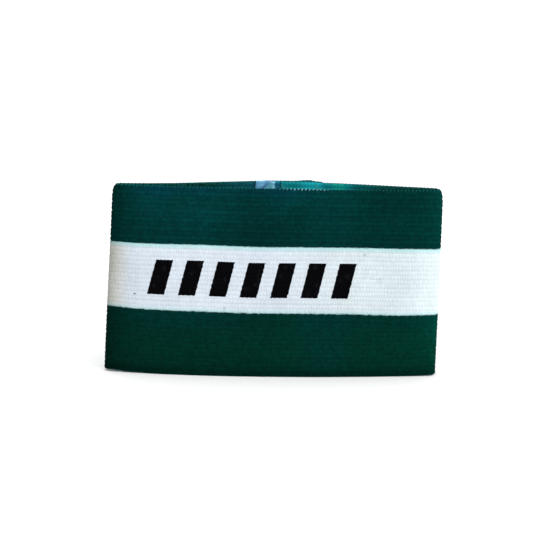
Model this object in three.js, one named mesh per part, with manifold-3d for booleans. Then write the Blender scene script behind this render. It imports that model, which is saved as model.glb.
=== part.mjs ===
// A captain armband: one strip of wide ribbed elastic closed into a loop by a lapped seam at the back,
// standing on its lower edge as it comes out of a pocket, half opened between its two folds.
// Millimetres, +Z up. X runs from fold to fold, the printed front faces -Y and the seam is at +Y.
import * as THREE from 'three';
import Module from 'manifold-3d';

// The strip, as it is knitted: its stripes from the lower edge up, and the ribs that run along it
const stripes = [
  { colour: 'green', height: 25.6, ribs: 14 },
  { colour: 'white', height: 26.6, ribs: 15 },
  { colour: 'green', height: 22.6, ribs: 13 },
];
const ribGroove = { everyRibs: 2, halfWidth: 0.5, depth: 0.25 };
const wall = 1.5;
const rimChamfer = 0.3;

// The loop that it is sewn into, seen from above
const loopWidth = 131;
const seam = { across: 1.5, behind: 7.4, heading: 2 };
const folds = {
  left: { inside: 0.6, behind: -1.9, backOpening: 0.5, frontOpening: 11 },
  right: { inside: 1.7, behind: -0.4, backOpening: 4.5, frontOpening: 7 },
};
// How far each stretch of wall keeps the direction of its ends, as a share of the stretch
const stretches = {
  backRight: { startPull: 0.42, endPull: 0.33 },
  front: { startPull: 0.37, endPull: 0.28 },
  backLeft: { startPull: 0.55, endPull: 0.5 },
};

// The lapped seam: the outer end covers the inner one, held by two sewn rows, and bulges between them,
// most at a share of the way from the first row to the last
const overlap = 17;
const lapGap = 0.4;
const lapRise = 22;
const lapBulge = { out: 1.9, peakShare: 0.7 };
const sewnRow = { inset: 2.2, width: 1.2, bite: 0.4, belowRim: 1.2 };

// How far the loop reaches to each side at each height, as shares of its reach at the lower edge:
// its corners draw in at the upper rim, and the front wall leans back
const levels = [
  { heightShare: 0.0, leftShare: 1.0, rightShare: 1.0, frontShare: 1.0, backShare: 1.0 },
  { heightShare: 0.5, leftShare: 0.993, rightShare: 0.994, frontShare: 0.96, backShare: 1.0 },
  { heightShare: 0.94, leftShare: 0.984, rightShare: 0.986, frontShare: 0.88, backShare: 1.0 },
  { heightShare: 0.98, leftShare: 0.978, rightShare: 0.979, frontShare: 0.87, backShare: 0.995 },
  { heightShare: 1.0, leftShare: 0.96, rightShare: 0.967, frontShare: 0.855, backShare: 0.985 },
];

// The label behind the seam's inner end, and the printed bars on the middle stripe
const label = { width: 7.9, height: 22, thickness: 0.8, fromSeam: 2.2 };
const print = { bars: 7, fromLeftFold: 15.3, length: 81.5, height: 14, barWidth: 6.6, slant: 3, film: 0.3 };
const seatGap = 0.3;

// Columns of faces along each stretch
const columns = {
  backRight: 10,
  fold: 8,
  front: 16,
  backLeft: 12,
  overlap: 10,
  sewnRow: 1,
  label: 4,
  bar: 3,
};

const black = new THREE.MeshStandardMaterial({ color: 0x100f11, roughness: 0.55 });
const green = new THREE.MeshStandardMaterial({ color: 0x04433c, roughness: 0.85 });
const paleSatin = new THREE.MeshStandardMaterial({ color: 0xb9cfe2, roughness: 0.5 });

const wasm = await Module();
wasm.setup();

function heading(degrees) {
  const angle = THREE.MathUtils.degToRad(degrees);
  return new THREE.Vector2(Math.cos(angle), Math.sin(angle));
}

// A stretch of wall that leaves one point in one direction and reaches another in another direction
function stretch(start, startHeading, end, endHeading, { startPull, endPull }) {
  const span = start.distanceTo(end);
  return new THREE.CubicBezierCurve(
    start,
    start.clone().addScaledVector(heading(startHeading), startPull * span),
    end.clone().addScaledVector(heading(endHeading), -endPull * span),
    end,
  );
}

// A fold's round turn, taken clockwise between two directions given in degrees
function turn(centre, radius, startHeading, endHeading) {
  const start = THREE.MathUtils.degToRad(startHeading + 90);
  const end = THREE.MathUtils.degToRad(endHeading + 90);
  return new THREE.EllipseCurve(centre.x, centre.y, radius, radius, start, end, true);
}

// The middle of the wall in plan, clockwise from the strip's inner end at the seam
function makePlan() {
  const { left, right } = folds;
  const seamPoint = new THREE.Vector2(seam.across, seam.behind);
  const rightCentre = new THREE.Vector2(loopWidth / 2 - wall - right.inside, right.behind);
  const leftCentre = new THREE.Vector2(-loopWidth / 2 + wall + left.inside, left.behind);
  const rightTurn = turn(rightCentre, right.inside + wall / 2, -right.backOpening, right.frontOpening - 180);
  const leftTurn = turn(leftCentre, left.inside + wall / 2, 180 - left.frontOpening, left.backOpening);
  const plan = new THREE.CurvePath();
  plan.add(
    stretch(seamPoint, seam.heading, rightTurn.getPoint(0), -right.backOpening, stretches.backRight),
  );
  plan.add(rightTurn);
  plan.add(
    stretch(
      rightTurn.getPoint(1),
      right.frontOpening - 180,
      leftTurn.getPoint(0),
      180 - left.frontOpening,
      stretches.front,
    ),
  );
  plan.add(leftTurn);
  plan.add(
    stretch(leftTurn.getPoint(1), left.backOpening, seamPoint, seam.heading, stretches.backLeft),
  );
  return plan;
}

const bandHeight = stripes.reduce((height, stripe) => height + stripe.height, 0);
const plan = makePlan();
const [rightFoldStart, frontStart, leftFoldStart, backLeftStart, loopLength] = plan.getCurveLengths();
const stripLength = loopLength + overlap;
const lapStep = wall + lapGap;

// How far the strip stands outside the plan line, so that its outer end laps over its inner one
function lapOffset(along) {
  const lap = lapStep * THREE.MathUtils.smoothstep(along, loopLength - lapRise, loopLength);
  const firstRow = loopLength + sewnRow.inset;
  const lastRow = stripLength - sewnRow.inset;
  const between = THREE.MathUtils.clamp((along - firstRow) / (lastRow - firstRow), 0, 1);
  const eased = between ** (Math.log(0.5) / Math.log(lapBulge.peakShare));
  return lap + lapBulge.out * Math.sin(Math.PI * eased) ** 2;
}

function levelShares(z) {
  const share = THREE.MathUtils.clamp(z / bandHeight, 0, 1);
  const above = Math.max(1, levels.findIndex((level) => level.heightShare >= share));
  const [low, high] = [levels[above - 1], levels[above]];
  const mix = (share - low.heightShare) / (high.heightShare - low.heightShare);
  const between = (name) => THREE.MathUtils.lerp(low[name], high[name], mix);
  return {
    left: between('leftShare'),
    right: between('rightShare'),
    front: between('frontShare'),
    back: between('backShare'),
  };
}

// A point of the strip: its distance along it, how far it is outside the wall's middle, and its height
function stripPoint(along, out, z) {
  const turned = (along % loopLength) / loopLength;
  const middle = plan.getPoint(turned);
  const ahead = plan.getTangent(turned);
  const offset = out + lapOffset(along);
  const x = middle.x - ahead.y * offset;
  const y = middle.y + ahead.x * offset;
  const shares = levelShares(z);
  return new THREE.Vector3(
    x * (x < 0 ? shares.left : shares.right),
    y * (y < 0 ? shares.front : shares.back),
    z,
  );
}

// Where along the strip its front wall crosses a given X
function alongFront(x) {
  let [near, far] = [frontStart, leftFoldStart];
  while (far - near > 1e-4) {
    const middle = (near + far) / 2;
    if (plan.getPoint(middle / loopLength).x > x) near = middle;
    else far = middle;
  }
  return near;
}

// A closed solid that follows the strip: an outline of { out, z } points carried along the stations.
// The lean slides each point along the strip by its height above the outline's lowest point.
function followStrip(stations, outline, lean = 0) {
  const base = Math.min(...outline.map((point) => point.z));
  const positions = [];
  for (const along of stations) {
    for (const { out, z } of outline) {
      positions.push(...stripPoint(along + lean * (z - base), out, z).toArray());
    }
  }
  const count = outline.length;
  const indices = [];
  for (let column = 0; column < stations.length - 1; column += 1) {
    for (let row = 0; row < count; row += 1) {
      const here = column * count + row;
      const above = column * count + ((row + 1) % count);
      indices.push(here, above, here + count, above, above + count, here + count);
    }
  }
  const flat = outline.map(({ out, z }) => new THREE.Vector2(out, z));
  const lastColumn = (stations.length - 1) * count;
  for (const [a, b, c] of THREE.ShapeUtils.triangulateShape(flat, [])) {
    indices.push(a, c, b, lastColumn + a, lastColumn + b, lastColumn + c);
  }
  const geometry = new THREE.BufferGeometry();
  geometry.setAttribute('position', new THREE.Float32BufferAttribute(positions, 3));
  geometry.setIndex(new THREE.Uint32BufferAttribute(indices, 1));
  geometry.computeVertexNormals();
  return geometry;
}

function evenly(start, end, parts) {
  return Array.from({ length: parts + 1 }, (_, i) => THREE.MathUtils.lerp(start, end, i / parts));
}

// Joins runs of stations, whose ends are shared
function runs(...lists) {
  return lists.reduce((joined, list) => joined.concat(list.slice(1)));
}

function rectangle(outLow, outHigh, zLow, zHigh) {
  return [
    { out: outLow, z: zLow },
    { out: outHigh, z: zLow },
    { out: outHigh, z: zHigh },
    { out: outLow, z: zHigh },
  ];
}

function stripeBase(index) {
  return stripes.slice(0, index).reduce((height, stripe) => height + stripe.height, 0);
}

// The deep grooves: one after every few ribs of a stripe, and one where two colours meet
function grooveHeights() {
  const heights = [];
  stripes.forEach((stripe, index) => {
    if (index > 0) heights.push(stripeBase(index));
    for (let rib = ribGroove.everyRibs; rib < stripe.ribs; rib += ribGroove.everyRibs) {
      heights.push(stripeBase(index) + (rib / stripe.ribs) * stripe.height);
    }
  });
  return heights;
}

// The wall's outline: chamfered rims, a row at each level and the grooves between the ribs outside
function bandOutline() {
  const face = wall / 2;
  const rim = face - rimChamfer;
  const levelRows = levels.slice(1, -1).map((level) => level.heightShare * bandHeight);
  const grooves = grooveHeights();
  const grooveRows = grooves.flatMap((z) => [z - ribGroove.halfWidth, z, z + ribGroove.halfWidth]);
  const outAt = (z) => {
    const nearest = Math.min(...grooves.map((groove) => Math.abs(groove - z)));
    return face - ribGroove.depth * Math.max(0, 1 - nearest / ribGroove.halfWidth);
  };
  const outside = [...levelRows, ...grooveRows].sort((a, b) => a - b).map((z) => ({ out: outAt(z), z }));
  const inside = levelRows.map((z) => ({ out: -face, z })).reverse();
  return [
    { out: -rim, z: 0 },
    { out: rim, z: 0 },
    { out: face, z: rimChamfer },
    ...outside,
    { out: face, z: bandHeight - rimChamfer },
    { out: rim, z: bandHeight },
    { out: -rim, z: bandHeight },
    { out: -face, z: bandHeight - rimChamfer },
    ...inside,
    { out: -face, z: rimChamfer },
  ];
}

// A row of stitches across the strip, which ties the outer end of the lap to the wall under it
function makeSewnRow(middle) {
  const under = wall / 2 - lapStep - sewnRow.bite;
  const over = sewnRow.bite - wall / 2;
  const outline = rectangle(under, over, sewnRow.belowRim, bandHeight - sewnRow.belowRim);
  const stations = evenly(middle - sewnRow.width / 2, middle + sewnRow.width / 2, columns.sewnRow);
  return followStrip(stations, outline);
}

function toSolid(geometry) {
  const vertProperties = geometry.attributes.position.array;
  return new wasm.Manifold(new wasm.Mesh({ numProp: 3, vertProperties, triVerts: geometry.index.array }));
}

function toGeometry(solid) {
  const { vertProperties, triVerts } = solid.getMesh();
  const geometry = new THREE.BufferGeometry();
  geometry.setAttribute('position', new THREE.BufferAttribute(vertProperties, 3));
  geometry.setIndex(new THREE.BufferAttribute(triVerts, 1));
  geometry.computeVertexNormals();
  return geometry;
}

function makeBand() {
  const stations = runs(
    evenly(0, rightFoldStart, columns.backRight),
    evenly(rightFoldStart, frontStart, columns.fold),
    evenly(frontStart, leftFoldStart, columns.front),
    evenly(leftFoldStart, backLeftStart, columns.fold),
    evenly(backLeftStart, loopLength, columns.backLeft),
    evenly(loopLength, stripLength, columns.overlap),
  );
  const rows = [loopLength + sewnRow.inset, stripLength - sewnRow.inset].map(makeSewnRow);
  const strip = toSolid(followStrip(stations, bandOutline()));
  const sewn = rows.reduce((solid, row) => solid.add(toSolid(row)), strip);
  const band = new THREE.Mesh(toGeometry(sewn), green);
  band.name = 'elastic_band';
  return band;
}

// A small folded label, sewn flat inside the wall beside the strip's inner end
function makeLabel() {
  const end = loopLength - label.fromSeam;
  const face = -wall / 2 - seatGap;
  const outline = rectangle(face - label.thickness, face, bandHeight - label.height, bandHeight);
  const stations = evenly(end - label.width, end, columns.label);
  const piece = new THREE.Mesh(followStrip(stations, outline), paleSatin);
  piece.name = 'label';
  return piece;
}

// One slanted bar of the plain printed row, a thin film on the front of the middle stripe
function makeBar(index) {
  const middle = stripeBase(1) + stripes[1].height / 2;
  const face = wall / 2 + seatGap;
  const outline = rectangle(face, face + print.film, middle - print.height / 2, middle + print.height / 2);
  const pitch = (print.length - print.slant - print.barWidth) / (print.bars - 1);
  const left = print.fromLeftFold - loopWidth / 2;
  const start = alongFront(left + print.barWidth + index * pitch);
  const stations = evenly(start, start + print.barWidth, columns.bar);
  const bar = new THREE.Mesh(followStrip(stations, outline, -print.slant / print.height), black);
  bar.name = `print_bar_${index + 1}`;
  return bar;
}

const loop = new THREE.Group();
loop.add(makeBand());
loop.add(makeLabel());
for (let index = 0; index < print.bars; index += 1) loop.add(makeBar(index));

// The origin is on the surface that the armband stands on, under the middle of its box
const box = new THREE.Box3().setFromObject(loop, true);
const middle = box.getCenter(new THREE.Vector3());
loop.position.set(-middle.x, -middle.y, -box.min.z);

const armband = new THREE.Group();
armband.add(loop);

export default armband;
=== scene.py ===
from math import cos, pi, radians, sin

import bmesh
import bpy
import numpy as np
from mathutils import Matrix, Vector


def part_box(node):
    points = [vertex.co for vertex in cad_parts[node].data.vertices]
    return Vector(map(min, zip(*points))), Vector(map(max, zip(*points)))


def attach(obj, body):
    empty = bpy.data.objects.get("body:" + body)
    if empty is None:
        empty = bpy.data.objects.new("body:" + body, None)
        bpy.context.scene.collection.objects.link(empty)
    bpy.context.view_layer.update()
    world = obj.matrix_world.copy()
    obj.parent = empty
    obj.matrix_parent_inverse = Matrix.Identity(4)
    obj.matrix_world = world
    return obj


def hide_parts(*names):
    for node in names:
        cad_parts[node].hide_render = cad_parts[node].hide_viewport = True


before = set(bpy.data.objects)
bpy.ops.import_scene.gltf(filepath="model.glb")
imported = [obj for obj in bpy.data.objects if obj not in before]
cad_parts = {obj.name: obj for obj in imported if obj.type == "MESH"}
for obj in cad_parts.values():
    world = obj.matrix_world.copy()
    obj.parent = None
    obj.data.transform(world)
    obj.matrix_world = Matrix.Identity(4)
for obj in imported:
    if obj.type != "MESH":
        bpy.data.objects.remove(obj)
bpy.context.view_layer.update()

# The armband's measures, in millimetres, as the solids have them
MM = 0.001
# height and number of ribs of each stripe, from the lower rim up
STRIPES = ((25.6, 14), (26.6, 15), (22.6, 13))
WALL = 1.5
FACE = WALL / 2
LOOP_WIDTH = 131.0
SEAM = {"across": 1.5, "behind": 7.4, "heading": 2.0}
LEFT = {"inside": 0.6, "behind": -1.9, "back": 0.5, "front": 11.0}
RIGHT = {"inside": 1.7, "behind": -0.4, "back": 4.5, "front": 7.0}
PULLS = {"back_right": (0.42, 0.33), "front": (0.37, 0.28), "back_left": (0.55, 0.5)}
OVERLAP, LAP_GAP, LAP_RISE, ROW_INSET = 17.0, 0.4, 22.0, 2.2
LAP_BULGE, LAP_PEAK = 1.9, 0.7
LABEL = {"width": 7.9, "height": 22.0, "from_seam": 2.2}
PRINT = {
    "bars": 7, "from_left": 15.3, "length": 81.5, "height": 14.0, "width": 6.6, "slant": 3.0,
}
SEAT_GAP = 0.3

HEIGHT = sum(height for height, _ in STRIPES)
RIBS = sum(ribs for _, ribs in STRIPES)
STRIPE_TOPS = np.cumsum([0.0] + [height for height, _ in STRIPES])
RIB_TOPS = np.cumsum([0.0] + [float(ribs) for _, ribs in STRIPES])

# How far the loop reaches at each share of its height: to the left, right, front and back
LEVELS = np.array((
    (0.0, 1.0, 1.0, 1.0, 1.0),
    (0.5, 0.993, 0.994, 0.96, 1.0),
    (0.94, 0.984, 0.986, 0.88, 1.0),
    (0.965, 0.9815, 0.983, 0.876, 0.998),
    (0.98, 0.978, 0.979, 0.87, 0.995),
    (0.992, 0.970, 0.974, 0.863, 0.99),
    (1.0, 0.960, 0.967, 0.855, 0.985),
))

# What the surface adds to the solids, in millimetres unless it says otherwise
RIM_ROUND = 0.7
# how deep the strong and the weak grooves between the ribs are, on each side of the wall, what
# share of that each stripe has, and how wide they are, in ribs
OUTER_GROOVES, INNER_GROOVES = (0.24, 0.12), (0.12, 0.08)
GROOVE_SHARES = (0.78, 0.7, 1.0)
GROOVE_WIDTH = 0.2
GROOVE_CHANGE = 0.25
SWAY = 0.14
# the rows of stitches press the two layers of the lap on each other
PRESSED, PRESSED_WIDTH = 0.2, 1.5
CUT_FRAY = 0.18
INK = {"front": 0.06, "back": -0.12, "ragged_sides": 0.13, "ragged_ends": 0.07}
# the label is sewn in a little higher than the rim, and each of its layers has this thickness
LABEL_RISE, LABEL_LAYER = 0.4, 0.26
SEAM_STITCHES = {"pitch": 2.1, "reach": 1.15, "reach_at_end": 0.75, "lift": 0.1, "dip": 0.3}
SEAM_THREAD = 0.2
SELVEDGE = {"pitch": 1.5, "start": 0.9, "end": 0.4, "slant": 0.4, "radius": 0.18}

# Seeds of the irregular waves
SEEDS = {
    "grooves": 3, "sway": 5, "cut": 11, "bar_sides": (21, 22), "bar_ends": (23, 24),
    "label": 31, "thread": 41,
}

# Points along the five parts of the plan and the lap, and where a rib has points across it
COLUMNS = (43, 17, 86, 15, 46, 17)
OUTER_STEPS = (0, 0.12, 0.3, 0.5, 0.7, 0.88)
INNER_STEPS = (0, 0.25, 0.5, 0.75)

# The UV map "strip" is in millimetres along and in ribs up. The reverse has this added to its
# ribs, and what lies above REVERSE_FROM is the reverse.
REVERSE_UV, REVERSE_FROM = 100, 60
BAKE_MARGIN = 0.01


def heading(degrees):
    return np.array((cos(radians(degrees)), sin(radians(degrees))))


def stretch(start, start_heading, end, end_heading, pulls, count=300):
    span = np.hypot(*(end - start))
    near = start + heading(start_heading) * pulls[0] * span
    far = end - heading(end_heading) * pulls[1] * span
    t = np.linspace(0, 1, count)[:, None]
    r = 1 - t
    return r**3 * start + 3 * r * r * t * near + 3 * r * t * t * far + t**3 * end


def turn(centre, radius, start_heading, end_heading, count=60):
    a = np.radians(np.linspace(start_heading + 90, end_heading + 90, count))
    return np.array(centre) + radius * np.stack((np.cos(a), np.sin(a)), 1)


def make_plan():
    """The middle of the wall seen from above, clockwise from the strip's inner end.

    Gives its points, how far along each lies, and where each of its five parts ends: back right,
    right fold, front, left fold and back left.
    """
    seam = np.array((SEAM["across"], SEAM["behind"]))
    right_centre = (LOOP_WIDTH / 2 - WALL - RIGHT["inside"], RIGHT["behind"])
    left_centre = (-LOOP_WIDTH / 2 + WALL + LEFT["inside"], LEFT["behind"])
    right = turn(right_centre, RIGHT["inside"] + FACE, -RIGHT["back"], RIGHT["front"] - 180)
    left = turn(left_centre, LEFT["inside"] + FACE, 180 - LEFT["front"], LEFT["back"])
    parts = (
        stretch(seam, SEAM["heading"], right[0], -RIGHT["back"], PULLS["back_right"]),
        right,
        stretch(right[-1], RIGHT["front"] - 180, left[0], 180 - LEFT["front"], PULLS["front"]),
        left,
        stretch(left[-1], LEFT["back"], seam, SEAM["heading"], PULLS["back_left"]),
    )
    points = np.vstack([parts[0]] + [part[1:] for part in parts[1:]])
    lengths = np.concatenate(([0], np.cumsum(np.hypot(*np.diff(points, axis=0).T))))
    ends = np.cumsum([len(parts[0]) - 1] + [len(part) - 1 for part in parts[1:]])
    return points, lengths, lengths[ends]


PLAN, ALONG, PART_ENDS = make_plan()
LOOP = ALONG[-1]
STRIP = LOOP + OVERLAP
LAP_STEP = WALL + LAP_GAP


def smooth(x, start, end):
    t = np.clip((x - start) / (end - start), 0, 1)
    return t * t * (3 - 2 * t)


def lap_offset(s):
    """How far the lap's outer layer lies out, with its bulge between the two rows of stitches."""
    first, last = LOOP + ROW_INSET, STRIP - ROW_INSET
    between = np.clip((s - first) / (last - first), 0, 1)
    eased = between ** (np.log(0.5) / np.log(LAP_PEAK))
    return LAP_STEP * smooth(s, LOOP - LAP_RISE, LOOP) + LAP_BULGE * np.sin(pi * eased) ** 2


def on_plan(s):
    s = np.mod(s, LOOP)
    return np.stack((np.interp(s, ALONG, PLAN[:, 0]), np.interp(s, ALONG, PLAN[:, 1])), -1)


def strip_point(s, out, z):
    """Where the strip has a point: s along it, out from its wall's middle, z up, in millimetres."""
    s, out, z = np.broadcast_arrays(*(np.asarray(a, float) for a in (s, out, z)))
    middle = on_plan(s)
    ahead = on_plan(s + 0.15) - on_plan(s - 0.15)
    ahead /= np.hypot(ahead[..., 0], ahead[..., 1])[..., None]
    offset = out + lap_offset(s)
    x = middle[..., 0] - ahead[..., 1] * offset
    y = middle[..., 1] + ahead[..., 0] * offset
    share = np.clip(z / HEIGHT, 0, 1)
    left, right, front, back = (np.interp(share, LEVELS[:, 0], column) for column in LEVELS.T[1:])
    return np.stack((x * np.where(x < 0, left, right), y * np.where(y < 0, front, back), z), -1)


# The solids' origin is under the middle of their box, so the plan moves by as much
CAD_LOW, CAD_HIGH = (np.array(corner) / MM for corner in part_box("elastic_band"))
REACH = np.vstack([strip_point(np.linspace(0, STRIP, 4000), side * FACE, 0) for side in (-1, 1)])
SHIFT = np.array((
    (CAD_LOW[0] + CAD_HIGH[0] - REACH[:, 0].min() - REACH[:, 0].max()) / 2,
    CAD_HIGH[1] - REACH[:, 1].max(),
    0.0,
))


def along_front(x):
    """How far along the strip the front has this X."""
    s = np.linspace(PART_ENDS[1], PART_ENDS[2], 2000)
    return float(np.interp(-x, -on_plan(s)[:, 0], s))


# The knit: ribs along the strip, whose rows are counted from the lower edge
def rib_height(rib):
    return np.interp(rib, RIB_TOPS, STRIPE_TOPS)


def wave(s, v, seed):
    """A smooth irregular wave between about -1 and 1."""
    rng = np.random.default_rng(seed)
    total = 0
    for _ in range(5):
        a, b, c = rng.uniform(0.6, 1.6), rng.uniform(-1.4, 1.4), rng.uniform(0, 2 * pi)
        total = total + np.sin(a * s + b * v + c)
    return total / 3.2


def groove(rib, strong, weak):
    """How deep the grooves beside a rib are there: every second one is strong."""
    k = np.floor(rib + 1e-9)
    t = rib - k
    even = np.mod(k, 2) == 0
    start, end = np.where(even, strong, weak), np.where(even, weak, strong)
    # so are those where the colours meet
    start = np.where(np.isin(np.round(k), RIB_TOPS[1:3]), strong, start)
    end = np.where(np.isin(np.round(k + 1), RIB_TOPS[1:3]), strong, end)
    share = np.select((k < RIB_TOPS[1], k < RIB_TOPS[2]), GROOVE_SHARES[:2], GROOVE_SHARES[2])
    start, end = start * share, end * share
    return (start * np.exp(-((t / GROOVE_WIDTH) ** 2))
            + end * np.exp(-(((1 - t) / GROOVE_WIDTH) ** 2)))


# How far the strip's edges and its colour edges lie off their heights, in millimetres:
# X, lower rim, lower colour edge, upper colour edge, upper rim behind, upper rim in front
STRAY = np.array((
    (-65.0, 0.80, 1.02, -0.07, -0.30, -0.30),
    (-63.5, 0.90, 0.95, -0.09, -0.29, -0.29),
    (-61.0, 0.80, 0.84, -0.13, -0.28, -0.28),
    (-56.0, 0.37, 0.46, -0.31, -0.24, -0.24),
    (-45.0, 0.00, 0.30, -0.16, -0.12, -0.12),
    (-29.0, 0.00, 0.34, 0.11, 0.00, 0.05),
    (-9.0, 0.00, 0.04, -0.23, 0.00, 0.06),
    (3.0, 0.00, 0.10, -0.12, 0.00, 0.20),
    (10.0, 0.00, 0.14, -0.06, 0.02, 0.18),
    (14.0, 0.00, 0.10, -0.06, 0.13, 0.09),
    (17.0, 0.00, 0.05, -0.06, 0.00, 0.05),
    (30.0, 0.00, -0.08, -0.06, 0.00, 0.04),
    (49.0, 0.00, -0.68, -0.57, 0.00, 0.00),
    (58.0, 0.14, -0.57, -0.72, -0.02, -0.02),
    (62.0, 0.30, -0.53, -0.76, -0.10, -0.10),
    (65.0, 0.50, -0.50, -0.76, -0.14, -0.14),
))


def placed(points, z):
    """Points of the strip in metres in the armband's frame, where its uneven edges put them."""
    lower, low, high, behind, front = (
        np.interp(points[..., 0], STRAY[:, 0], column) for column in STRAY.T[1:])
    upper = np.where(points[..., 1] < 0, front, behind)
    for stray, at in zip((lower, low, high, upper), np.eye(4)):
        points[..., 2] += stray * np.interp(z, STRIPE_TOPS, at)
    return (points + SHIFT) * MM


def wall_out(s, rib, inner=False):
    """Distance of the knit's surface from the middle of the wall."""
    z = rib_height(rib)
    edge = np.clip(np.minimum(z, HEIGHT - z) / RIM_ROUND, 0, 1)
    rounded = 0.5 + 0.5 * np.sqrt(1 - (1 - edge) ** 2)
    uneven = 1 + GROOVE_CHANGE * wave(s / 9, np.floor(rib) * 2.1, SEEDS["grooves"])
    depth = groove(rib, *(INNER_GROOVES if inner else OUTER_GROOVES))
    from_end = s - LOOP if inner else s
    rows = ROW_INSET, OVERLAP - ROW_INSET
    pressed = sum(np.exp(-(((from_end - row) / PRESSED_WIDTH) ** 2)) for row in rows)
    return FACE * rounded - depth * uneven * edge + PRESSED * pressed


def knit_point(s, rib, lift=0.0, inner=False):
    """A point of the knit's surface, lifted off it, in metres in the armband's frame."""
    s, rib, lift = np.broadcast_arrays(*(np.asarray(a, float) for a in (s, rib, lift)))
    out = wall_out(s, rib, inner) + lift
    sway = SWAY * wave(s / 23, rib / 9, SEEDS["sway"]) * np.sin(pi * rib / RIBS)
    held = smooth(s, 0, 6) * (1 - smooth(s, LOOP - LAP_RISE, LOOP - LAP_RISE / 2))
    z = rib_height(rib)
    return placed(strip_point(s, (-out if inner else out) + sway * held, z), z)


# Meshes
def loft(name, rings, edge_uv=None, bake_uv=None):
    """A closed mesh from rings of points.

    Each uv is (count of rings, points of a ring, start or end of its edge, 2).
    """
    count, size = rings.shape[:2]
    index = np.arange(count * size).reshape(count, size)
    after = np.roll(index, -1, 1)
    quads = np.stack((index[:-1], after[:-1], after[1:], index[1:]), -1).reshape(-1, 4)
    faces = quads.tolist() + [index[0, ::-1].tolist(), index[-1].tolist()]
    mesh = bpy.data.meshes.new(name)
    mesh.from_pydata(rings.reshape(-1, 3).tolist(), [], faces)
    for layer, uv in (("strip", edge_uv), ("OFBake", bake_uv)):
        if uv is None:
            continue
        start, end = uv[:, :, 0], uv[:, :, 1]
        corners = np.stack((start[:-1], end[:-1], end[1:], start[1:]), 2).reshape(-1, 2)
        caps = np.vstack((start[0, ::-1], start[-1]))
        if layer == "strip":
            # the cut ends show the ribs' colours through the wall's whole thickness
            caps[:, 1] %= REVERSE_UV
        made = mesh.uv_layers.new(name=layer)
        made.data.foreach_set("uv", np.vstack((corners, caps)).astype(np.float32).ravel())
    return finish_mesh(name, mesh)


def finish_mesh(name, mesh):
    work = bmesh.new()
    work.from_mesh(mesh)
    bmesh.ops.recalc_face_normals(work, faces=work.faces)
    work.to_mesh(mesh)
    work.free()
    mesh.shade_smooth()
    piece = bpy.data.objects.new(name, mesh)
    bpy.context.collection.objects.link(piece)
    return piece


def tubes(name, paths, radius, sides=6):
    """Round threads along lists of points in metres, in one mesh."""
    points, faces = [], []
    turns = np.arange(sides) * 2 * pi / sides
    for path in paths:
        path = np.asarray(path)
        ahead = np.gradient(path, axis=0)
        ahead /= np.linalg.norm(ahead, axis=1)[:, None]
        # any direction that no thread runs in
        across = np.cross(ahead, (0.31, 0.17, 0.93))
        across /= np.linalg.norm(across, axis=1)[:, None]
        other = np.cross(ahead, across)
        ring = (across[:, None] * np.cos(turns)[None, :, None]
                + other[:, None] * np.sin(turns)[None, :, None])
        base = len(points)
        points += (path[:, None] + ring * radius).reshape(-1, 3).tolist()
        for i in range(len(path) - 1):
            for j in range(sides):
                a, b = base + i * sides + j, base + i * sides + (j + 1) % sides
                faces.append((a, b, b + sides, a + sides))
        last = base + (len(path) - 1) * sides
        faces.append(tuple(range(base + sides - 1, base - 1, -1)))
        faces.append(tuple(range(last, last + sides)))
    mesh = bpy.data.meshes.new(name)
    mesh.from_pydata(points, [], faces)
    return finish_mesh(name, mesh)


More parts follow.
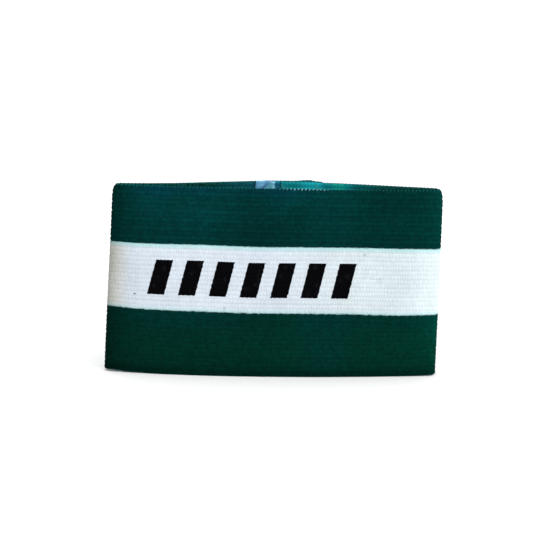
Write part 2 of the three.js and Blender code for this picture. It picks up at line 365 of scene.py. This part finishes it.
# Materials
class Nodes:
    """Builds a material's nodes one call at a time."""

    def __init__(self, name):
        self.material = bpy.data.materials.new(name)
        self.material.use_nodes = True
        self.tree = self.material.node_tree
        self.shader = self.tree.nodes["Principled BSDF"]

    def put(self, socket, value):
        if isinstance(value, bpy.types.NodeSocket):
            self.tree.links.new(value, socket)
        else:
            socket.default_value = value

    def add(self, kind, inputs=(), **settings):
        node = self.tree.nodes.new("ShaderNode" + kind)
        for key, value in settings.items():
            setattr(node, key, value)
        for key, value in dict(inputs).items():
            self.put(node.inputs[key], value)
        return node

    def math(self, operation, *values):
        node = self.add("Math", operation=operation)
        for socket, value in zip(node.inputs, values):
            self.put(socket, value)
        return node.outputs[0]

    def product(self, value, *others):
        for other in others:
            value = self.math("MULTIPLY", value, other)
        return value

    def total(self, value, *others):
        for other in others:
            value = self.math("ADD", value, other)
        return value

    def distance(self, value, middle):
        return self.math("ABSOLUTE", self.math("SUBTRACT", value, middle))

    def fade(self, distance, length):
        """Falls off from 1 with the distance; the length is negative."""
        return self.math("EXPONENT", self.math("DIVIDE", distance, length))

    def mix(self, share, a, b, blend="MIX"):
        node = self.add("Mix", data_type="RGBA", blend_type=blend)
        # a colour mix has its share at input 0 and its two colours at 6 and 7
        self.put(node.inputs[0], share)
        self.put(node.inputs[6], a)
        self.put(node.inputs[7], b)
        return node.outputs[2]

    def lit(self, colour, light):
        return self.mix(1.0, colour, self.vector(light, light, light), "MULTIPLY")

    def noise(self, vector, scale, detail=2.0, roughness=0.5):
        inputs = {"Vector": vector, "Scale": scale, "Detail": detail, "Roughness": roughness}
        return self.add("TexNoise", inputs).outputs["Fac"]

    def step(self, value, low, high, to_low=0.0, to_high=1.0):
        inputs = {
            "Value": value, "From Min": low, "From Max": high, "To Min": to_low, "To Max": to_high,
        }
        return self.add("MapRange", inputs, interpolation_type="SMOOTHSTEP").outputs[0]

    def vector(self, x, y, z=0.0):
        return self.add("CombineXYZ", {"X": x, "Y": y, "Z": z}).outputs[0]

    def place(self):
        """The place in the armband's frame, in metres, and its X, Y and Z."""
        place = self.add("TexCoord").outputs["Object"]
        return place, *self.add("SeparateXYZ", {"Vector": place}).outputs

    def bump(self, height, distance, strength=1.0, normal=None):
        inputs = {"Height": height, "Distance": distance, "Strength": strength}
        if normal is not None:
            inputs["Normal"] = normal
        return self.add("Bump", inputs).outputs[0]

    def finish(self, colour, normal, roughness, specular, sheen=0.0):
        for name, value in (
            ("Base Color", colour), ("Roughness", roughness), ("Specular IOR Level", specular),
            ("Sheen Weight", sheen),
        ):
            self.put(self.shader.inputs[name], value)
        if normal is not None:
            self.put(self.shader.inputs["Normal"], normal)
        return self.material


def srgb(r, g, b):
    def linear(c):
        c /= 255
        return c / 12.92 if c <= 0.04045 else ((c + 0.055) / 1.055) ** 2.4
    return linear(r), linear(g), linear(b), 1.0


GREENS = {
    "lower": srgb(1, 43, 34),
    "lower_right": srgb(1, 46, 36),
    "upper": srgb(1, 43, 39),
    "bluish": srgb(2, 50, 51),
    "rim": srgb(3, 46, 60),
}
REVERSE = {
    "far": srgb(6, 58, 46),
    "middle": srgb(16, 148, 154),
    "bright": srgb(30, 190, 206),
    "patch": srgb(30, 186, 166),
    "left": srgb(18, 94, 108),
    "under_end": srgb(44, 140, 176),
    "fleck": srgb(60, 170, 176),
    "between": srgb(4, 60, 64),
}
WHITES = {
    "left": srgb(207, 216, 226),
    "right": srgb(208, 219, 223),
    "fold": srgb(217, 217, 208),
    "bleed": srgb(168, 213, 215),
    "mark": srgb(70, 78, 84),
}
INKS = {"dark": srgb(3, 3, 5), "fibre": srgb(18, 16, 20), "pale": srgb(26, 24, 28)}
SATINS = {
    "dark": srgb(92, 168, 214),
    "light": srgb(138, 208, 244),
    "crease": srgb(44, 72, 130),
    "green_band": srgb(96, 190, 188),
    "lit": srgb(150, 232, 255),
    "between": srgb(78, 130, 172),
}
THREADS = {"base": srgb(84, 190, 186), "light": srgb(146, 226, 222), "dark": srgb(20, 110, 112)}
YARNS = {"base": srgb(18, 92, 94), "behind": srgb(50, 144, 142), "lit": srgb(164, 230, 236)}

# Irregular patterns on the strip: how often in a millimetre and in a rib, detail, roughness
PATTERNS = {
    "drift": (1 / 12, 0.7, 2.0, 0.5),
    "cloud": (0.9 / 10, 0.9 / 5.6, 3.0, 0.5),
    "fleck": (1.6 / 2.2, 1.6, 3.0, 0.7),
    "lint": (2.0, 3.4, 2.0, 0.6),
    "fibre": (3.0, 5.4, 3.0, 0.65),
}

# The stitches of the knit: their pitch in millimetres, and by how many of them their rows drift
# and each lies slanting
STITCH_PITCH, STITCH_DRIFT, STITCH_SLANT = 1.15, 5.0, 0.9

# Between these ribs a value goes over from the lower green stripe to the upper one
BETWEEN_GREENS = (14.0, 30.0)
# How light the greens are up the strip, a painted shade at the lower rim and painted light towards
# the upper one: from rib, to rib, light below and light above
GREEN_HEIGHTS = ((0.3, 2.6, 0.5, 0.9), (2.0, 6.0, 1.0, 1.1), (28.0, 42.0, 0.93, 1.12))
# Patches of painted shade and painted light on the front's green, in this order a darker, a lighter
# and a darker one: X of their middles, and how far from it they are full and end
SHADE_DIP_AT, BLUER_AT, DULLER_AT = -15.0, 20.0, -8.0
PATCH_FULL, PATCH_END = 4.0, 14.0

# The middles of the two folds, along the strip
FOLD_MIDDLES = {
    "right": float(PART_ENDS[0] + PART_ENDS[1]) / 2,
    "left": float(PART_ENDS[2] + PART_ENDS[3]) / 2,
}

# Tones of the reverse, laid one on another along the strip: where each starts, is full, is still
# full and ends, and its share. The reverse is brighter beside the seam, where the light gets in;
# these tones are painted light and painted shade, darker further right and left of the seam.
WHOLE_START, WHOLE_END = (-2.0, -1.0), (STRIP + 1, STRIP + 2)
REVERSE_TONES = (
    ("middle", *WHOLE_START, 26.0, 46.0, 1.0),
    ("far", 27.0, 30.0, *WHOLE_END, 0.5),
    ("bright", 6.0, 12.0, 15.0, 18.0, 1.0),
    ("patch", 19.5, 22.5, 24.5, 27.5, 0.7),
    ("left", LOOP - 34, LOOP - 5, *WHOLE_END, 1.0),
    ("under_end", LOOP - 3.5, LOOP - 2, LOOP + 0.3, LOOP + 1.5, 1.0),
)

# Small marks on the white stripe: X and height in millimetres, size, strength
MARKS = (
    (-54.9, 31.7, 0.62, 0.95),
    (40.8, 39.4, 1.9, 0.15),
    (34.3, 49.5, 0.8, 0.35),
    (-20.0, 27.2, 0.8, 0.3),
)
RIB_PITCH = 1.8


class KnitNodes(Nodes):
    """Nodes of a knitted surface, which know the place on the strip and its stitches."""

    def __init__(self, name):
        super().__init__(name)
        uv = self.add("UVMap", uv_map="strip").outputs[0]
        self.along, raw, _ = self.add("SeparateXYZ", {"Vector": uv}).outputs
        self.inner = self.math("GREATER_THAN", raw, float(REVERSE_FROM))
        self.rib = self.math("SUBTRACT", raw, self.product(self.inner, float(REVERSE_UV)))
        self.row = self.math("FLOOR", self.rib)
        side = self.distance(self.math("FRACT", self.rib), 0.5)
        # the stitches of each rib are a little uneven, so their rows don't line up
        drift = self.product(self.pattern("drift", self.row), STITCH_DRIFT)
        stitch = self.total(self.math("DIVIDE", self.along, STITCH_PITCH), drift)
        slanted = self.total(stitch, self.product(side, STITCH_SLANT))
        lobe = self.math("SINE", self.product(self.math("FRACT", slanted), pi))
        self.crest = self.math("SUBTRACT", 1.0, self.math("POWER", self.product(side, 2.0), 3.0))
        self.height = self.product(lobe, self.crest)
        # a shade for each stitch
        cell = self.vector(self.math("FLOOR", slanted), self.row)
        random = self.add("TexWhiteNoise", {"Vector": cell}, noise_dimensions="2D")
        self.shade = random.outputs["Value"]

    def pattern(self, name, across=None):
        per_mm, per_rib, detail, roughness = PATTERNS[name]
        across = self.rib if across is None else across
        place = self.vector(self.product(self.along, per_mm), self.product(across, per_rib))
        return self.noise(place, 1.0, detail, roughness)

    def by_stripe(self, lower, upper):
        return self.step(self.rib, *BETWEEN_GREENS, lower, upper)

    def on_front(self, start, end, to_start=0.0, to_end=1.0):
        """From one X of the front to another."""
        return self.step(self.along, along_front(start), along_front(end), to_start, to_end)

    def around(self, x, inside, outside):
        """A patch around an X of the front."""
        off = self.distance(self.along, along_front(x))
        return self.step(off, PATCH_FULL, PATCH_END, inside, outside)

    def from_fold(self, side):
        return self.distance(self.along, FOLD_MIDDLES[side])


def green_colour(n, cloud, fleck):
    """The front's greens: bluer at the upper left, darker with painted shade at the left fold, and
    paler with painted light at the right.
    """
    upper = n.step(n.rib, 6.0, 18.0)
    green = n.mix(n.on_front(-10.0, 8.0), GREENS["lower"], GREENS["lower_right"])
    green = n.mix(upper, green, GREENS["upper"])

    # the bluish part reaches further right towards the rim, and ends before the left fold
    reach = n.total(n.along, n.step(n.rib, 32.0, 41.0, 0.0, 24.0))
    bluish = n.product(
        n.step(reach, along_front(4.0), along_front(-26.0)),
        n.step(cloud, 0.35, 0.6, 0.55, 1.0),
        n.step(n.rib, 28.0, 36.0, 0.45, 1.0),
        n.step(n.along, PART_ENDS[2] + 1, PART_ENDS[2] - 15),
        # painted shade: around this X the green is less bluish, and so darker
        n.around(SHADE_DIP_AT, 0.55, 1.0),
    )
    green = n.mix(n.product(bluish, upper), green, GREENS["bluish"])
    green = n.mix(n.product(bluish, n.step(n.rib, 38.5, 42.5, 0.0, 0.7)), green, GREENS["rim"])
    # painted light: right of the middle the greens are bluer and lighter
    bluer = n.product(n.around(BLUER_AT, 0.42, 0.0), n.by_stripe(0.6, 1.0))
    green = n.mix(bluer, green, GREENS["bluish"])

    # every second rib is lighter, a painted highlight where it catches the light, and the hollows
    # between the stitches are darker, a painted shade
    odd = n.math("MODULO", n.total(n.row, 1.0), 2.0)
    lit_rib = n.product(odd, n.crest, n.by_stripe(0.02, 0.12))
    relief = n.step(n.height, 0.0, 1.0, n.by_stripe(0.96, 0.88), n.by_stripe(1.0, 1.06))
    light = n.product(
        n.total(relief, lit_rib),
        n.step(n.shade, 0.0, 1.0, 0.9, 1.1),
        n.step(fleck, 0.3, 0.75, 0.84, 1.3),
        # painted shade at the lower rim and painted light towards the upper one
        *(n.step(n.rib, *heights) for heights in GREEN_HEIGHTS),
    )

    # painted shade darkens the green towards the left fold, and painted light lightens it towards
    # the right fold
    painted_fold_shade = n.product(
        n.fade(n.from_fold("left"), n.by_stripe(-7.0, -5.0)), n.by_stripe(-0.62, -0.52))
    painted_fold_light = n.product(
        n.fade(n.from_fold("right"), -5.5), n.by_stripe(1.0, 0.7),
        n.step(n.rib, 3.0, 11.0, 0.45, 1.05),
    )
    # painted shade: the upper stripe is duller left of the middle; the top right corner is darker
    # too
    dull = n.product(upper, n.around(DULLER_AT, 0.14, 0.0))
    dull_top = n.product(n.step(n.rib, 34.0, 39.0), n.on_front(30.0, 42.0, 0.0, 0.17))
    painted_light_and_dull_top = n.math("SUBTRACT", n.total(painted_fold_shade, painted_fold_light, 1.0), n.total(dull, dull_top))
    return n.lit(green, n.product(light, painted_light_and_dull_top))


def reverse_colour(n, fleck):
    reverse = REVERSE["far"]
    # the tones are painted light beside the seam and painted shade further from it
    for tone, start, full, still_full, end, share in REVERSE_TONES:
        there = n.product(
            n.step(n.along, start, full), n.step(n.along, end, still_full, 0.0, share))
        reverse = n.mix(there, reverse, REVERSE[tone])
    reverse = n.mix(n.step(fleck, 0.4, 0.8, 0.0, 0.3), reverse, REVERSE["fleck"])
    # painted shade in the hollows between the stitches
    return n.mix(n.step(n.height, 0.0, 0.8, 0.3, 0.0), reverse, REVERSE["between"])


def white_colour(n, cloud, fleck):
    """The white stripe: greyer and darker with painted shade at the left fold, lighter with painted
    light near the right fold, tinged where it meets the greens, and marked.
    """
    left, right = n.from_fold("left"), n.from_fold("right")
    _, x, _, _ = n.place()
    white = n.mix(n.step(x, 0.035, -0.005), WHITES["right"], WHITES["left"])
    white = n.mix(n.step(left, 10.0, 1.5, 0.0, 0.9), white, WHITES["fold"])
    bleed = n.total(n.step(n.rib, 15.2, 14.0, 0.0, 0.65), n.step(n.rib, 27.7, 29.0, 0.0, 0.9))
    white = n.mix(bleed, white, WHITES["bleed"])

    # painted shade in the hollows between the stitches
    hollow = n.product(n.step(n.height, 0.0, 0.7, -0.1, 0.0), n.step(fleck, 0.3, 0.7, 0.3, 1.5))
    # painted shade darkens the white towards the left fold, and painted light lightens it near the
    # right fold
    painted_fold_shade = n.product(n.fade(left, -4.8), -0.64)
    light = n.product(
        n.total(hollow, 1.0),
        n.step(n.shade, 0.0, 1.0, 0.96, 1.02),
        n.step(cloud, 0.3, 0.7, 0.95, 1.01),
        n.total(painted_fold_shade, n.step(right, 16.0, 5.0, 1.0, 1.15)),
    )
    white = n.lit(white, light)

    outside = n.math("SUBTRACT", 1.0, n.inner)
    for mark_x, mark_z, size, strength in MARKS:
        mark_rib = float(np.interp(mark_z, STRIPE_TOPS, RIB_TOPS))
        across = n.math("SUBTRACT", n.along, along_front(mark_x))
        up = n.product(n.math("SUBTRACT", n.rib, mark_rib), RIB_PITCH)
        far = n.math("SQRT", n.total(n.product(across, across), n.product(up, up)))
        ragged = n.total(far, n.product(fleck, size * 0.6))
        share = n.product(n.step(ragged, size * 1.3, size * 0.5, 0.0, strength), outside)
        white = n.mix(share, white, WHITES["mark"])
    return white


def elastic_material():
    n = KnitNodes("ribbed_elastic")
    cloud, fleck = n.pattern("cloud"), n.pattern("fleck")
    green = n.mix(n.inner, green_colour(n, cloud, fleck), reverse_colour(n, fleck))
    # where the colours meet, the stitches of one reach a little into the other
    edge = n.total(n.rib, n.product(n.math("SUBTRACT", n.shade, 0.5), 0.14))
    is_white = n.product(n.step(edge, 13.85, 14.15), n.step(edge, 29.15, 28.85))
    colour = n.mix(is_white, green, white_colour(n, cloud, fleck))
    normal = n.bump(n.pattern("lint"), 0.00006, 0.6)
    normal = n.bump(n.height, 0.00016, 0.8, normal)
    return n.finish(colour, normal, 0.95, 0.015)


def ink_material():
    n = KnitNodes("print_ink")
    fibre = n.pattern("fibre")
    tone = n.product(n.step(n.height, 0.0, 1.0, 0.0, 0.5), n.step(fibre, 0.35, 0.75))
    colour = n.mix(tone, INKS["dark"], INKS["fibre"])
    colour = n.mix(n.step(n.shade, 0.86, 1.0, 0.0, 0.4), colour, INKS["pale"])
    normal = n.bump(fibre, 0.00004, 0.5)
    normal = n.bump(n.height, 0.00014, 0.8, normal)
    return n.finish(colour, normal, 0.9, 0.03)


def satin_material():
    n = Nodes("label_satin")
    place, x, _, z = n.place()
    # the pitches of its threads are in metres
    warp = n.math("SINE", n.product(x, 2 * pi / 0.00028))
    weft = n.math("SINE", n.product(z, 2 * pi / 0.00036))
    weave = n.product(n.total(warp, n.product(weft, 0.6)), 0.5)
    cloud = n.noise(place, 420.0, 3.0)
    # a slanting crease, a painted shade that is darker lower down, with a greener fold beside it
    # and a painted light on its right side
    off_crease = n.math("SUBTRACT", n.total(x, 0.00365), n.math("SUBTRACT", z, 0.0742))
    crease = n.product(
        n.step(n.math("ABSOLUTE", off_crease), 0.0013, 0.0), n.step(z, 0.0740, 0.0722, 0.4, 0.9))
    green_band = n.product(
        n.step(off_crease, 0.0009, 0.0018), n.step(off_crease, 0.0036, 0.0028), 0.65)
    colour = n.mix(n.step(cloud, 0.35, 0.7), SATINS["dark"], SATINS["light"])
    colour = n.mix(crease, colour, SATINS["crease"])
    colour = n.mix(green_band, colour, SATINS["green_band"])
    colour = n.mix(n.step(x, -0.0024, -0.0012, 0.0, 0.8), colour, SATINS["lit"])
    colour = n.mix(n.step(weave, -0.6, 0.6, 0.25, 0.0), colour, SATINS["between"])
    return n.finish(colour, n.bump(weave, 0.00003, 0.6), 0.42, 0.25, 0.05)


def thread_material():
    n = Nodes("seam_thread")
    place, x, _, z = n.place()
    # two plies turn round each other once in 0.55 mm up, and in 0.7 mm across
    ply = n.math("SINE", n.total(n.product(z, 2 * pi / 0.00055), n.product(x, 9000.0)))
    fuzz = n.noise(place, 2600.0, 2.0)
    colour = n.mix(n.step(ply, -1.0, 1.0), THREADS["dark"], THREADS["base"])
    colour = n.mix(n.step(fuzz, 0.45, 0.7, 0.0, 0.6), colour, THREADS["light"])
    return n.finish(colour, n.bump(ply, 0.00005, 0.7), 0.7, 0.08)


def selvedge_material():
    n = Nodes("selvedge_yarn")
    place, x, y, z = n.place()
    at_top = n.step(z, 0.0735, 0.0743)
    # the turns in front of the seam catch the light of the opening, some more than others
    lit = n.product(
        n.step(n.distance(x, 0.0092), 0.0115, 0.0055),
        n.step(y, 0.0, -0.003),
        n.step(n.noise(place, 1500.0, 3.0), 0.3, 0.65, 0.7, 1.0),
        n.step(n.noise(place, 420.0, 2.0), 0.38, 0.62, 0.3, 1.0),
        at_top,
    )
    # painted light: the turns of the back rim beside the seam are lighter too
    behind = n.product(
        n.step(n.distance(x, 0.010), 0.014, 0.008), n.step(y, 0.002, 0.004), at_top)
    colour = n.mix(behind, YARNS["base"], YARNS["behind"])
    colour = n.mix(lit, colour, YARNS["lit"])
    strands = n.math("SINE", n.product(x, 2 * pi / 0.0003))
    return n.finish(colour, n.bump(strands, 0.00004, 0.6), 0.85, 0.03)


# The band
def columns():
    starts = (0, *PART_ENDS[:-1])
    parts = [np.linspace(start, end, count, endpoint=False)
             for start, end, count in zip(starts, PART_ENDS, COLUMNS)]
    return np.concatenate((*parts, np.linspace(LOOP, STRIP, COLUMNS[-1])))


def knit_rows(steps):
    inside = np.concatenate([k + np.array(steps) for k in range(RIBS)])
    # more points where the rims are rounded
    ends = np.array((0.03, 0.08))
    return np.unique(np.concatenate((inside, ends, RIBS - ends, (RIBS,))).round(6))


def make_band():
    outer = knit_rows(OUTER_STEPS)
    inner = knit_rows(INNER_STEPS)[::-1]
    s = columns()
    fray = np.zeros((len(s), 1))
    fray[0], fray[-1] = -CUT_FRAY, CUT_FRAY
    alongs = [s[:, None] + fray * wave(rib * 5.3, rib, SEEDS["cut"])[None, :]
              for rib in (outer, inner)]
    rings = np.concatenate((
        knit_point(alongs[0], outer), knit_point(alongs[1], inner, inner=True)), 1)

    # the last edge of each side goes round a rim and keeps that side's ribs
    along = np.concatenate(alongs, 1)
    start = np.concatenate((outer, inner + REVERSE_UV))
    end = np.concatenate((outer[1:], outer[-1:], inner[1:] + REVERSE_UV, inner[-1:] + REVERSE_UV))
    strip_uv = np.stack((
        np.stack((along, np.broadcast_to(start, along.shape)), -1),
        np.stack((np.roll(along, -1, 1), np.broadcast_to(end, along.shape)), -1),
    ), 2)

    # for baking, the outer side fills the map's upper half and the inner side its lower half
    is_inner = (start > REVERSE_FROM)[None, :, None]
    bake_uv = strip_uv.copy()
    length_share = np.clip(bake_uv[..., 0] / STRIP, 0, 1)
    rib_share = (bake_uv[..., 1] - REVERSE_UV * is_inner) / RIBS
    bake_uv[..., 0] = BAKE_MARGIN + (1 - 2 * BAKE_MARGIN) * length_share
    bake_uv[..., 1] = BAKE_MARGIN + (0.5 - 2 * BAKE_MARGIN) * rib_share + np.where(is_inner, 0, 0.5)
    band = loft("elastic_band_knit", rings, strip_uv, bake_uv)
    band.data.materials.append(elastic_material())
    return band


def make_bar(index, material):
    """One printed bar: a film that follows the ribs, with the ragged edge of ink on knit."""
    middle = (STRIPE_TOPS[1] + STRIPE_TOPS[2]) / 2
    low, high = (
        np.interp(middle + k * PRINT["height"] / 2, STRIPE_TOPS, RIB_TOPS) for k in (-1, 1))
    pitch = (PRINT["length"] - PRINT["slant"] - PRINT["width"]) / (PRINT["bars"] - 1)
    start = along_front(PRINT["from_left"] - LOOP_WIDTH / 2 + PRINT["width"] + index * pitch)
    rib = knit_rows(OUTER_STEPS)
    rib = np.concatenate(([low], rib[(rib > low + 0.02) & (rib < high - 0.02)], [high]))
    lean = -PRINT["slant"] * (rib_height(rib) - rib_height(low)) / PRINT["height"]
    sides = [INK["ragged_sides"] * wave(rib * 4.1, index, seed) for seed in SEEDS["bar_sides"]]
    t = np.linspace(0, 1, 17)[:, None]
    s = start + lean + (1 - t) * sides[0] + t * (PRINT["width"] + sides[1])
    ends = INK["ragged_ends"] * np.stack([
        wave(s[:, k] * 5, -k, seed) for k, seed in zip((0, -1), SEEDS["bar_ends"])], 1)
    share = np.linspace(0, 1, len(rib))[None, :]
    rows = rib + ends[:, :1] * (1 - share) + ends[:, 1:] * share
    front = knit_point(s, rows, INK["front"])
    back = knit_point(s[:, ::-1], rows[:, ::-1], INK["back"])
    uv = np.stack((np.hstack((s, s[:, ::-1])), np.hstack((rows, rows[:, ::-1]))), -1)
    edge_uv = np.stack((uv, np.roll(uv, -1, 1)), 2)
    bar = loft(f"print_film_{index + 1}", np.concatenate((front, back), 1), edge_uv)
    bar.data.materials.append(material)
    return bar


def make_label():
    """A satin strip folded once, with its fold away from the seam and its ends under it."""
    end = LOOP - LABEL["from_seam"]
    # the fold's radius, with as much room between the layers as each is thick
    fold = LABEL_LAYER
    flat = LABEL["width"] - fold - LABEL_LAYER / 2
    near = -FACE - SEAT_GAP - LABEL_LAYER / 2
    line = [(end - flat * k / 14, near) for k in range(15)]
    for k in range(1, 10):
        a = pi * k / 10
        line.append((end - flat - fold * sin(a), near - fold + fold * cos(a)))
    line += [(end - flat * (1 - k / 14), near - 2 * fold) for k in range(15)]
    line = np.array(line)
    ahead = np.gradient(line, axis=0)
    ahead /= np.hypot(*ahead.T)[:, None]
    side = np.stack((-ahead[:, 1], ahead[:, 0]), 1) * LABEL_LAYER / 2
    along, out = np.vstack((line + side, (line - side)[::-1])).T
    z = LABEL_RISE + np.linspace(HEIGHT - LABEL["height"], HEIGHT, 45)[:, None]
    free = (end - along) / LABEL["width"]
    # its free layer ripples, and its top edge is uneven and lower beside the seam
    ripple = 0.1 * free * wave(z / 3.0, along / 2.0, SEEDS["label"]) * (out < near - fold)
    top = 0.12 * np.sin(along * 0.9) - 0.5 * smooth(free, 0.45, 0.15)
    rings = strip_point(along, out - np.abs(ripple) * 0.8, z + top * (z > HEIGHT - 1))
    label = loft("label_satin_fold", (rings + SHIFT) * MM)
    label.data.materials.append(satin_material())
    return label


def zigzag(middle, inner, reach=SEAM_STITCHES["reach"]):
    """A row of zigzag stitches up the strip, which dips into the knit at each turn."""
    count = int(HEIGHT / SEAM_STITCHES["pitch"])
    ribs = np.linspace(0.5, RIBS - 0.5, count * 8 + 1)
    phase = np.arange(len(ribs)) / 8
    saw = 2 * np.abs(2 * (phase / 2 % 1) - 1) - 1
    dip = SEAM_STITCHES["dip"] * np.abs(np.cos(pi * phase)) ** 8
    s = middle + reach * saw + 0.05 * wave(ribs * 3, 0, SEEDS["thread"])
    return knit_point(s, ribs, SEAM_STITCHES["lift"] - dip, inner)


def make_seam_stitches():
    paths = [
        zigzag(LOOP + ROW_INSET, False),
        zigzag(STRIP - ROW_INSET, False),
        zigzag(0.9, True, SEAM_STITCHES["reach_at_end"]),
        zigzag(OVERLAP - ROW_INSET, True),
    ]
    stitches = tubes("seam_stitches", paths, SEAM_THREAD * MM)
    stitches.data.materials.append(thread_material())
    return stitches


def make_selvedge(name, top, material):
    """The turns of the filling yarn over a rim of the strip, from its outer to its inner side."""
    paths = []
    over = np.linspace(1, -1, 9)
    for k, s in enumerate(np.arange(SELVEDGE["start"], STRIP - SELVEDGE["end"], SELVEDGE["pitch"])):
        # every second turn stands out more and reaches further down
        odd = k % 2
        out = (0.62 if odd else 0.5) * np.sin(over * pi / 2) * 1.18
        drop = (np.where(over > 0, 0.2, 0.5) + 0.1 * odd) * (1 - np.cos(over * pi / 2))
        z = HEIGHT + 0.02 - drop if top else drop + 0.15
        paths.append(placed(strip_point(s + SELVEDGE["slant"] * over, out, z), z))
    rim = tubes(name, paths, SELVEDGE["radius"] * MM, 5)
    rim.data.materials.append(material)
    return rim


yarn = selvedge_material()
band = make_band()
ink = ink_material()
bars = [make_bar(index, ink) for index in range(PRINT["bars"])]
label = make_label()
stitches = make_seam_stitches()
rims = [make_selvedge("selvedge_upper", True, yarn), make_selvedge("selvedge_lower", False, yarn)]

for piece, slot, node in (
    [(band, "elastic", "elastic_band"), (label, "label_satin", "label")]
    + [(bar, "print_ink", f"print_bar_{k + 1}") for k, bar in enumerate(bars)]
    + [(piece, "elastic", None) for piece in [stitches] + rims]
):
    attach(piece, "root")
    if node:
        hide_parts(node)


# The stage: a pale floor, soft light, and the camera where the photograph was taken from
CAMERA = {"azimuth": -5.856, "elevation": 14.144, "roll": 2.537, "distance": 1.0}
# in pixels of the photograph: its side, the focal length, and where the point aimed at lies
PICTURE = {"side": 533, "focal": 2559.3, "across": 274.54, "down": 278.97}
AIM_HEIGHT = 0.0375


def make_floor():
    n = Nodes("pale_floor")
    place = n.place()[0]
    grain = n.noise(place, 60.0, 4.0)
    colour = n.mix(grain, (0.93, 0.935, 0.94, 1), (0.95, 0.95, 0.95, 1))
    mesh = bpy.data.meshes.new("floor")
    side = 15.0
    corners = [(-side, -side, 0), (side, -side, 0), (side, side, 0), (-side, side, 0)]
    mesh.from_pydata(corners, [], [(0, 1, 2, 3)])
    mesh.materials.append(n.finish(colour, None, 0.9, 0.1))
    floor = bpy.data.objects.new("floor", mesh)
    bpy.context.collection.objects.link(floor)


def soft_light(name, azimuth, elevation, strength, spread):
    """A far, wide light: azimuth 0 is in front of the print and 90 beside the right fold."""
    data = bpy.data.lights.new(name, "SUN")
    data.energy, data.angle = strength, radians(spread)
    lamp = bpy.data.objects.new(name, data)
    a, e = radians(azimuth), radians(elevation)
    lamp.location = Vector((sin(a) * cos(e), -cos(a) * cos(e), sin(e)))
    lamp.rotation_euler = (-lamp.location).to_track_quat("-Z", "Y").to_euler()
    bpy.context.collection.objects.link(lamp)


def make_studio():
    world = bpy.data.worlds.new("studio")
    world.use_nodes = True
    backdrop = world.node_tree.nodes["Background"]
    backdrop.inputs["Color"].default_value = (1, 1, 1, 1)
    backdrop.inputs["Strength"].default_value = 1.0
    bpy.context.scene.world = world
    bpy.context.scene.view_settings.view_transform = "Standard"
    soft_light("top", azimuth=-20, elevation=70, strength=0.7, spread=60)
    soft_light("key", azimuth=62, elevation=34, strength=0.8, spread=50)


def make_camera():
    azimuth, elevation, roll = (radians(CAMERA[key]) for key in ("azimuth", "elevation", "roll"))
    distance, centre = CAMERA["distance"], PICTURE["side"] / 2
    target = Vector((0, SHIFT[1] * MM, AIM_HEIGHT))
    back = Vector((sin(azimuth) * cos(elevation), -cos(azimuth) * cos(elevation), sin(elevation)))
    right = Vector((cos(azimuth), sin(azimuth), 0))
    up = back.cross(right)
    # the picture is turned clockwise, and its middle lies beside the point aimed at
    turned_right = right * cos(roll) + up * sin(roll)
    turned_up = up * cos(roll) - right * sin(roll)
    place = target + back * distance
    beside = turned_right * (centre - PICTURE["across"]) + turned_up * (PICTURE["down"] - centre)
    middle = target + beside / PICTURE["focal"] * distance
    back = (place - middle).normalized()
    turned_right = (turned_right - back * turned_right.dot(back)).normalized()
    turned_up = back.cross(turned_right)
    data = bpy.data.cameras.new("camera")
    data.sensor_width = 36.0
    data.lens = PICTURE["focal"] / PICTURE["side"] * data.sensor_width
    camera = bpy.data.objects.new("camera", data)
    axes = Matrix((turned_right, turned_up, back)).transposed().to_4x4()
    camera.matrix_world = Matrix.Translation(place) @ axes
    bpy.context.collection.objects.link(camera)
    bpy.context.scene.camera = camera


make_floor()
make_studio()
make_camera()
